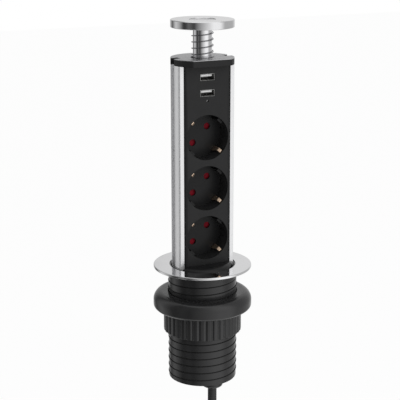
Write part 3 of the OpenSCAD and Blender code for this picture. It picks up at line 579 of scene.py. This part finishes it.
class POWERTOWER_OT_stage(bpy.types.Operator):
    """Pale floor, soft studio light, a screen for the gloss, and the camera"""
    bl_idname = "powertower.stage"
    bl_label = "Stage"

    def execute(self, context):
        scene = context.scene
        scene.view_settings.view_transform = "Standard"
        self.camera(scene)
        self.floor()
        self.world(scene)
        self.softbox("key_softbox", (0.75, -1.35, 1.15), 7.0, 1.1)
        self.softbox("fill_softbox", (-1.1, -0.2, 1.3), 2.5, 0.9)
        self.reflector()
        return {"FINISHED"}

    def camera(self, scene):
        lens = bpy.data.cameras.new("view_camera")
        lens.lens = 102.9
        lens.sensor_width = 36
        lens.shift_x = -0.006
        lens.clip_start = 0.05
        eye = bpy.data.objects.new("view_camera", lens)
        eye.location = (-0.4057, -0.8700, 0.3153)
        eye.rotation_euler = (math.radians(90 - 14.9), 0, math.radians(VIEW_BEARING))
        scene.collection.objects.link(eye)
        scene.camera = eye

    def floor(self):
        width, height, whiteness = 14, -0.6, 0.92
        put_down()
        bpy.ops.mesh.primitive_plane_add(size=width, location=(0, 0, height))
        floor = bpy.context.object
        floor.name = "stage_floor"
        finish = Finish("stage_floor", colours().floor, 0.9)
        finish.mottle(finish.noise(3, 2), 0.01)
        self.lighten(finish, whiteness)
        floor.data.materials.append(finish.material)

    def clear_sight(self, nodes, links):
        """One for the camera and for gloss and clear material that look on to the stage, else nought"""
        path = nodes.new("ShaderNodeLightPath")
        seen = path.outputs["Is Camera Ray"]
        for ray in ("Is Glossy Ray", "Is Transmission Ray"):
            either = nodes.new("ShaderNodeMath")
            either.operation = "MAXIMUM"
            links.new(seen, either.inputs[0])
            links.new(path.outputs[ray], either.inputs[1])
            seen = either.outputs[0]
        return seen

    def lighten(self, finish, share):
        """The camera, glossy and clear rays see the floor nearer to white, with its shadows kept"""
        nodes, links = finish.nodes, finish.links
        part = nodes.new("ShaderNodeMath")
        part.operation = "MULTIPLY"
        part.inputs[1].default_value = share
        links.new(self.clear_sight(nodes, links), part.inputs[0])
        glow = nodes.new("ShaderNodeEmission")
        mix = nodes.new("ShaderNodeMixShader")
        links.new(part.outputs[0], mix.inputs["Fac"])
        links.new(finish.shader.outputs["BSDF"], mix.inputs[1])
        links.new(glow.outputs["Emission"], mix.inputs[2])
        links.new(mix.outputs["Shader"], finish.output.inputs["Surface"])

    def world(self, scene):
        """White sky, a little dimmer where it lights the model than where it is seen"""
        world = bpy.data.worlds.new("studio")
        world.use_nodes = True
        scene.world = world
        nodes, links = world.node_tree.nodes, world.node_tree.links
        nodes.clear()
        level = nodes.new("ShaderNodeMapRange")
        level.inputs["To Min"].default_value = 0.8
        level.inputs["To Max"].default_value = 1.0
        links.new(self.clear_sight(nodes, links), level.inputs["Value"])
        sky = nodes.new("ShaderNodeBackground")
        sky.inputs["Color"].default_value = (1, 1, 1, 1)
        links.new(level.outputs["Result"], sky.inputs["Strength"])
        out = nodes.new("ShaderNodeOutputWorld")
        links.new(sky.outputs["Background"], out.inputs["Surface"])

    def reflector(self):
        """A round screen that only gloss sees, lighter and darker with the bearing from the camera's side"""
        away, low, high, steps = 0.42, -0.45, 0.83, 96
        put_down()
        bpy.ops.mesh.primitive_plane_add(size=1, location=(0, 0, 0))
        screen = bpy.context.object
        screen.name = screen.data.name = "reflector"
        open_mesh(screen)
        bpy.ops.mesh.merge(type="CENTER")
        bpy.ops.mesh.select_all(action="SELECT")
        bpy.ops.transform.translate(value=(away, 0, low))
        bpy.ops.mesh.extrude_region_move(TRANSFORM_OT_translate={"value": (0, 0, high - low)})
        bpy.ops.mesh.select_all(action="SELECT")
        bpy.ops.mesh.spin(steps=steps, angle=2 * math.pi, center=(0, 0, 0), axis=(0, 0, 1))
        close_skin(screen)
        screen.data.materials.append(self.screen_glow())
        for ray in ("camera", "diffuse", "shadow", "transmission"):
            setattr(screen, f"visible_{ray}", False)

    def screen_glow(self):
        finish = Finish("reflector_glow", (0, 0, 0), 1.0)
        nodes, links = finish.nodes, finish.links
        where = nodes.new("ShaderNodeTexCoord")
        turn = nodes.new("ShaderNodeMapping")
        turn.inputs["Rotation"].default_value = (0, 0, math.radians(90 - VIEW_BEARING))
        links.new(where.outputs["Object"], turn.inputs["Vector"])
        round_about = nodes.new("ShaderNodeTexGradient")
        round_about.gradient_type = "RADIAL"
        links.new(turn.outputs["Vector"], round_about.inputs["Vector"])
        ramp = nodes.new("ShaderNodeValToRGB")
        stops = ramp.color_ramp.elements
        while len(stops) < len(SCREEN_LEVELS):
            stops.new(0.5)
        for stop, (bearing, level) in zip(stops, SCREEN_LEVELS):
            stop.position = bearing / 360 + 0.5
            stop.color = (level, level, level, 1)
        links.new(round_about.outputs["Fac"], ramp.inputs["Fac"])
        glow = nodes.new("ShaderNodeEmission")
        links.new(ramp.outputs["Color"], glow.inputs["Color"])
        links.new(glow.outputs["Emission"], finish.output.inputs["Surface"])
        return finish.material

    def softbox(self, name, place, power, size):
        lamp = bpy.data.lights.new(name, "AREA")
        lamp.energy = power
        lamp.size = size
        box = bpy.data.objects.new(name, lamp)
        box.location = place
        aim = Vector((0, 0, 0.02)) - Vector(place)
        box.rotation_euler = aim.to_track_quat("-Z", "Y").to_euler()
        bpy.context.scene.collection.objects.link(box)


# The mains lead

LEAD_TOP = [(LEAD_X, LEAD_Y, z) for z in (GLAND_FOOT, -118, -124, -132, -140, -148, -156, -164, -172, -180, -187)]
LEAD_TAIL = [(LEAD_X, TAIL_Y, z) for z in (-203, -211, -220, -230, -240, -250, -260, -268, SLEEVE_TOP)]
COIL_HEIGHT = -195


def eased(x):
    return 0 if x <= 0 else 1 if x >= 1 else x * x * (3 - 2 * x)


def coil_point(turn):
    """The coil winds in on its front layer, crosses where it reverses and winds out behind"""
    size = sizes()
    radius = size.coil_radius - size.coil_step * min(turn, size.coil_turns - turn)
    layer = size.coil_step * eased((turn - size.coil_turns / 2 + 0.25) / 0.5)
    angle = -2 * math.pi * turn
    middle = LEAD_X * MM - size.coil_radius
    return (middle + radius * math.cos(angle), LEAD_Y * MM + layer, COIL_HEIGHT * MM + radius * math.sin(angle))


def lead_path():
    down = [tuple(c * MM for c in p) for p in LEAD_TOP]
    coil = [coil_point(k / RINGS_A_TURN) for k in range(sizes().coil_turns * RINGS_A_TURN + 1)]
    return down + coil + [tuple(c * MM for c in p) for p in LEAD_TAIL]


def length_of(path):
    return sum((Vector(b) - Vector(a)).length for a, b in zip(path, path[1:]))


class POWERTOWER_OT_mains_lead(bpy.types.Operator):
    """Mains lead with its coil, tie, gland and plug"""
    bl_idname = "powertower.mains_lead"
    bl_label = "Mains lead"

    def execute(self, context):
        path = lead_path()
        lead = tube_along("mains_lead", path, sizes().lead_diameter / 2, 20)
        settle(lead, "tower", "black_rubber", "rubber", "cord", "cord_coil", "cord_tail")
        tie = dress("cord_tie", "lead_tie", "tower", "black_rubber", "rubber", 0.4)
        relief = self.relief()
        body = dress("plug_body", "mains_plug", "tower", "black_glossy_plastic", "plug", 0.5, segments=3)
        pins = dress("plug_pins", "mains_plug_pins", "tower", "plated_steel", "nickel", 0)
        earth = dress("plug_earth", "mains_plug_earth", "tower", "brass", "brass", 0.15)
        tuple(path[0])
        length_of(path)
        self.gland()
        return {"FINISHED"}

    def relief(self):
        """Tapered sleeve with grooves that let it bend"""
        thin, wide = 5.2, 6.6
        grooves, groove_pitch, groove_depth = 6, 3.6, 0.9
        outline = [(0, SLEEVE_TOP), (4.6, SLEEVE_TOP), (5.1, SLEEVE_TOP - 0.6)]
        for k in range(grooves):
            z = SLEEVE_TOP - 2.5 - groove_pitch * k
            r = thin + (wide - thin) * (SLEEVE_TOP - z) / (SLEEVE_TOP - SLEEVE_FOOT)
            deep = r - groove_depth
            outline += [(r, z), (deep, z - 0.5), (deep, z - 1.4), (r + 0.02, z - 1.9)]
        outline += [(wide, SLEEVE_FOOT + 0.4), (wide, SLEEVE_FOOT), (0, SLEEVE_FOOT)]
        relief = turned_piece("plug_sleeve", outline, 48, 0.2, at=(LEAD_X * MM, TAIL_Y * MM), closed=False)
        return settle(relief, "tower", "black_rubber", "rubber", "plug_relief")

    def gland(self):
        at = (LEAD_X * MM, LEAD_Y * MM)
        outline = [
            (0, GLAND_NECK), (8.9, GLAND_NECK), (8.9, TOWER_FOOT - 0.3), (8.6, TOWER_FOOT), (6.2, TOWER_FOOT),
            (6.2, PROFILE_FOOT - 0.2), (0, PROFILE_FOOT - 0.2),
        ]
        base = turn_outline("gland_base", outline, 64, at, closed=False)
        ease_edges(base)
        smooth(base)
        settle(base, "tower", "black_plastic", "black", "cable_gland")
        top = GLAND_NECK - 0.05
        round_foot = [(GLAND_BORE, GLAND_FOOT)] + arc((7.0, GLAND_FOOT + 2.5), 2.5, -90, 0, 6)
        outline = round_foot + [(9.5, top - 0.85), (9.2, top), (GLAND_BORE, top)]
        nut = turned_piece("gland_clamp_nut", outline, 96, 0.2, at=at)
        settle(nut, "tower", "black_plastic", "black", "gland_nut")


# The lift cap

class POWERTOWER_OT_lift_cap(bpy.types.Operator):
    """Lift cap with its button, chromed tube and spring"""
    bl_idname = "powertower.lift_cap"
    bl_label = "Lift cap"

    def execute(self, context):
        edge = sizes().cap_edge / MM
        outline = [
            (TUBE_RADIUS, CAP_FOOT), (CAP_RADIUS - 0.4, CAP_FOOT), (CAP_RADIUS, CAP_FOOT + 0.4),
            (CAP_RADIUS, CAP_TOP - edge), (CAP_RADIUS - edge, CAP_TOP),
            (RECESS_RADIUS + 0.4, CAP_TOP), (RECESS_RADIUS, CAP_TOP - 0.4),
            (RECESS_RADIUS, CAP_FLOOR), (TUBE_RADIUS, CAP_FLOOR),
        ]
        disc = turned_piece("lift_cap", outline, 160, 0.12)
        settle(disc, "cap", "polished_steel", "turned_steel", "cap_disc")
        outline = [
            (0, BUTTON_FOOT), (10.9, BUTTON_FOOT), (10.9, BUTTON_TOP - 0.4), (10.5, BUTTON_TOP), (8.6, BUTTON_TOP),
            (8.0, BUTTON_TOP - 0.2), (0, BUTTON_TOP - 0.2),
        ]
        button = turned_piece("cap_button", outline, 128, 0.1, closed=False)
        settle(button, "button", "plated_steel", "button_steel", "release_button")
        outline = [(TUBE_BORE, TUBE_FOOT), (TUBE_RADIUS, TUBE_FOOT), (TUBE_RADIUS, CAP_FLOOR), (TUBE_BORE, CAP_FLOOR)]
        tube = turned_piece("lift_tube", outline, 96, 0.15)
        settle(tube, "cap", "chromed_tube", "chrome", "guide_tube")
        self.spring()
        under_button = dress("button_spring", "button_ring_spring", "button", "spring_steel", "spring", 0)
        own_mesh(under_button)
        return {"FINISHED"}

    def spring(self):
        """The first and last half turns flatten on to their seats"""
        size = sizes()
        low = SPRING_SEAT * MM + size.spring_wire / 2
        high = CAP_FOOT * MM - size.spring_wire / 2
        turns = size.spring_turns
        rise = (high - low) / (turns - 0.5)

        def height(t):
            if t < 0.5:
                return low + rise * t * t
            if t > turns - 0.5:
                return high - rise * (turns - t) ** 2
            return low + rise * (t - 0.25)

        path = []
        for k in range(turns * RINGS_A_TURN + 1):
            t = k / RINGS_A_TURN
            angle = 2 * math.pi * t
            path.append((size.spring_radius * math.cos(angle), size.spring_radius * math.sin(angle), height(t)))
        spring = tube_along("lift_coil_spring", path, size.spring_wire / 2, 12)
        settle(spring, "cap", "spring_steel", "spring", "lift_spring")
        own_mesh(spring)


# The tower

class POWERTOWER_OT_tower_shell(bpy.types.Operator):
    """Aluminium profile, end cap, its steel plate, lower cover and bottom cap"""
    bl_idname = "powertower.tower_shell"
    bl_label = "Tower shell"

    def execute(self, context):
        dress(
            "tower_profile", "tower_tube", "tower", "anodised_aluminium", "aluminium", 0.2, rims=upright, faces="quads",
        )
        dress("end_cap", "tower_end_cap", "tower", "black_plastic", "cap_black", 0.2)
        dress("top_plate", "end_cap_plate", "tower", "polished_steel", "plate", 0.12)
        dress("lower_cover", "bore_cover", "tower", "black_glossy_plastic", "gloss", 0.25)
        dress(
            "bottom_cap", "tower_foot", "tower", "black_plastic", "black", 0.1,
            rims=in_planes(2, TOWER_FOOT, PROFILE_FOOT),
        )
        return {"FINISHED"}


class POWERTOWER_OT_socket_face(bpy.types.Operator):
    """Matt black face with its socket and port openings"""
    bl_idname = "powertower.socket_face"
    bl_label = "Socket face"

    def execute(self, context):
        dress("face_plate", "socket_face", "tower", "black_plastic", "face", 0.2, rims=in_planes(1, FACE_FRONT))
        return {"FINISHED"}


class POWERTOWER_OT_sockets(bpy.types.Operator):
    """Three earthed sockets: cup, red shutter and earth clip"""
    bl_idname = "powertower.sockets"
    bl_label = "Sockets"

    def execute(self, context):
        for i in SOCKETS:
            dress(
                f"socket_cup_{i}", f"socket_bowl_{i}", "tower", "black_plastic", "cup", 0.1,
                rims=in_planes(1, CUP_RIM, CUP_FLOOR), faces="loose",
            )
            dress(
                f"shutter_{i}", f"pin_shutter_{i}", f"shutter_{i}", "red_plastic", "shutter", 0.1,
                rims=in_planes(1, SHUTTER_FRONT),
            )
            dress(f"earth_clip_{i}", f"earth_spring_{i}", "tower", "brass", "brass", 0.12)
        return {"FINISHED"}


class POWERTOWER_OT_usb_ports(bpy.types.Operator):
    """Two USB ports with their contacts, and the light"""
    bl_idname = "powertower.usb_ports"
    bl_label = "USB ports"

    def execute(self, context):
        for i in PORTS:
            dress(f"usb_shell_{i}", f"port_shell_{i}", "tower", "plated_steel", "shell", 0.06)
            dress(f"usb_tongue_{i}", f"port_tongue_{i}", "tower", "white_plastic", "white", 0.15)
            self.contacts(i)
        # The lens carries painted light: its light grey colour stands in for the lit dot
        dress("light_pipe", "light_lens", "tower", "clear_plastic", "lens", 0.2)
        return {"FINISHED"}

    def contacts(self, i):
        """Four gold strips under a port's tongue"""
        low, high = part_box(f"usb_tongue_{i}")
        count, row, width, height = 4, 7.0, 1.1, 0.14
        strips = []
        for k in range(count):
            put_down()
            x = (k / (count - 1) - 0.5) * row * MM
            bpy.ops.mesh.primitive_cube_add(size=1, location=(x, (low.y + high.y) / 2, low.z - 0.06 * MM))
            strip = bpy.context.object
            bpy.ops.object.mode_set(mode="EDIT")
            reach = (high.y - low.y) * 0.8
            bpy.ops.transform.resize(value=(width * MM, reach, height * MM), center_override=strip.location)
            bpy.ops.object.mode_set(mode="OBJECT")
            bpy.ops.object.transform_apply(location=True, rotation=True, scale=True)
            ease_edges(strip, 0.04 * MM)
            strips.append(strip)
        piece = join(f"port_contacts_{i}", *strips)
        smooth(piece)
        settle(piece, "tower", "brass", "gold")


# The ring and the collar

class POWERTOWER_OT_ring_and_collar(bpy.types.Operator):
    """Polished trim ring, gasket and threaded collar"""
    bl_idname = "powertower.ring_and_collar"
    bl_label = "Ring and collar"

    def execute(self, context):
        outline = [(RING_BORE, 1.62), (38.15, 1.62), (38.15, GASKET_TOP), (RING_RADIUS, GASKET_TOP)]
        outline += arc((RING_RADIUS - 0.8, RING_TOP - 0.8), 0.8, 0, 90, 5) + [(RING_BORE, RING_TOP)]
        ring = turned_piece("trim_flange", outline, 192, 0.2)
        settle(ring, "collar", "polished_steel", "polished_steel", "trim_ring")
        outline = [(30.15, 0), (41.5, 0), (41.5, GASKET_TOP), (30.15, GASKET_TOP)]
        gasket = turned_piece("flange_gasket", outline, 128, 0.1)
        settle(gasket, "collar", "black_rubber", "rubber", "ring_gasket")
        outline = [
            (COLLAR_BORE, COLLAR_FOOT), (COLLAR_RADIUS, COLLAR_FOOT), (COLLAR_RADIUS, GASKET_TOP), (38, GASKET_TOP),
            (38, 1.6), (COLLAR_BORE, 1.6),
        ]
        sleeve = turned_piece("collar_body", outline, 160, 0.3, angle=40)
        settle(sleeve, "collar", "black_plastic", "black", "collar_sleeve")
        # The thread's darker finish is painted shade under the ridges
        settle(self.thread(), "collar", "black_plastic", "thread")
        return {"FINISHED"}

    def thread(self):
        """One narrow ridge is drawn, wound down the collar and faded out at both ends"""
        size = sizes()
        pitch, turns = size.thread_pitch / MM, size.thread_turns
        top, root, ridge = -8.7 * MM, 29.6 * MM, 1.3 * MM
        fade, overrun, least = 0.3, 0.05, 0.02
        steps = int(THREAD_STEPS * turns)
        middle = (29.8 * MM, 0, top)
        put_down()
        bpy.ops.mesh.primitive_plane_add(size=ridge, location=middle, rotation=(math.pi / 2, 0, 0))
        thread = bpy.context.object
        thread.name = thread.data.name = "collar_thread"
        bpy.ops.object.transform_apply(location=True, rotation=True, scale=True)
        pick_points(thread, lambda co: co.x > COLLAR_RADIUS * MM)
        bpy.ops.transform.resize(value=(1, 1, 0.5), center_override=(0, 0, top))
        bpy.ops.mesh.select_all(action="SELECT")
        bpy.ops.mesh.delete(type="ONLY_FACE")
        put_down()
        modify(
            thread, "SCREW", axis="Z", angle=-2 * math.pi * turns, screw_offset=-pitch * turns * MM,
            steps=steps, render_steps=steps, iterations=1, use_merge_vertices=False,
        )
        open_mesh(thread)
        bpy.ops.mesh.fill_holes(sides=0)
        put_down()
        for point in thread.data.vertices:
            turn = (top - point.co.z) / MM / pitch
            share = max(least, min(1, (turn + overrun) / fade, (turns + overrun - turn) / fade))
            reach = math.hypot(point.co.x, point.co.y)
            if reach > root:
                scale = (root + (reach - root) * share) / reach
                point.co.x *= scale
                point.co.y *= scale
        close_skin(thread)
        ease_edges(thread, 0.08 * MM, 1)
        smooth(thread)
        return thread


class POWERTOWER_OT_clamp(bpy.types.Operator):
    """Domed washer and ribbed nut under the worktop"""
    bl_idname = "powertower.clamp"
    bl_label = "Clamp"

    def execute(self, context):
        outline = [(CLAMP_BORE, -37), (40.4, -37)] + arc((40.4, -34), 3, -90, 0, 5)[1:]
        outline += arc((35.4, -30), 8, 0, 90, 10) + [(CLAMP_BORE, -22)]
        washer = turned_piece("clamp_dome", outline, 160, 0.25, angle=40)
        settle(washer, "clamp_washer", "black_plastic", "black", "clamp_washer")
        settle(self.nut(), "clamp_nut", "black_plastic", "black", "clamp_nut")
        return {"FINISHED"}

    def nut(self):
        """The plain ring's outer points are pushed in along each groove"""
        steps = sizes().nut_ribs * RIB_STEPS
        outline = [
            (CLAMP_BORE, NUT_FOOT), (NUT_RADIUS - 0.5, NUT_FOOT), (NUT_RADIUS, NUT_FOOT + 0.5),
            (NUT_RADIUS, NUT_TOP - 0.5), (NUT_RADIUS - 0.5, NUT_TOP), (CLAMP_BORE, NUT_TOP),
        ]
        nut = turn_outline("clamp_wheel", outline, steps)
        halfway = (CLAMP_BORE + NUT_RADIUS) / 2 * MM
        for sink, offsets in NUT_GROOVE:
            angles = {(rib * RIB_STEPS + o) % steps for rib in range(sizes().nut_ribs) for o in offsets}

            def in_groove(co, angles=angles):
                step = round(math.degrees(math.atan2(co.y, co.x)) * steps / 360) % steps
                return math.hypot(co.x, co.y) > halfway and step in angles

            pick_points(nut, in_groove)
            share = 1 - sink / NUT_RADIUS
            bpy.ops.transform.resize(value=(share, share, 1), center_override=(0, 0, 0))
            put_down()
        smooth(nut, 50)
        return nut


class POWERTOWER_OT_inner_parts(bpy.types.Operator):
    """Finishes for the frame pieces that keep their shape"""
    bl_idname = "powertower.inner_parts"
    bl_label = "Inner parts"

    def execute(self, context):
        for i in SOCKETS:
            coat(f"contact_block_{i}", "grey")
        for rail in ("live_rail", "neutral_rail", "earth_rail"):
            coat(rail, "brass")
        for steel in ("end_cap_screws", "bottom_cap_screws", "guide_post", "release_rod"):
            coat(steel, "zinc")
        coat("guide_pads", "nylon")
        coat("usb_board", "board")
        coat("usb_converter", "converter")
        coat("terminal_block", "nylon")
        coat("rail_leads", "live_core")
        coat("core_leads", "live_core")
        return {"FINISHED"}


class POWERTOWER_PT_panel(bpy.types.Panel):
    """Steps of the model, in their order"""
    bl_label = "Power tower"
    bl_space_type = "VIEW_3D"
    bl_region_type = "UI"
    bl_category = "Power tower"

    def draw(self, context):
        for group in (context.scene.tower_sizes, context.scene.tower_colours):
            for name in group.bl_rna.properties.keys():
                if name not in ("rna_type", "name"):
                    self.layout.prop(group, name)
        for step in STEPS:
            self.layout.operator(step.bl_idname)


STEPS = (
    POWERTOWER_OT_stage, POWERTOWER_OT_mains_lead, POWERTOWER_OT_lift_cap, POWERTOWER_OT_tower_shell,
    POWERTOWER_OT_socket_face, POWERTOWER_OT_sockets, POWERTOWER_OT_usb_ports, POWERTOWER_OT_ring_and_collar,
    POWERTOWER_OT_clamp, POWERTOWER_OT_inner_parts,
)
CLASSES = (TowerSizes, TowerColours) + STEPS + (POWERTOWER_PT_panel,)


def register():
    for cls in CLASSES:
        bpy.utils.register_class(cls)
    bpy.types.Scene.tower_sizes = PointerProperty(type=TowerSizes)
    bpy.types.Scene.tower_colours = PointerProperty(type=TowerColours)


def unregister():
    del bpy.types.Scene.tower_colours
    del bpy.types.Scene.tower_sizes
    for cls in reversed(CLASSES):
        bpy.utils.unregister_class(cls)


def main():
    register()
    for step in STEPS:
        group, name = step.bl_idname.split(".")
        getattr(getattr(bpy.ops, group), name)()
    put_down()


if __name__ == "__main__":
    main()
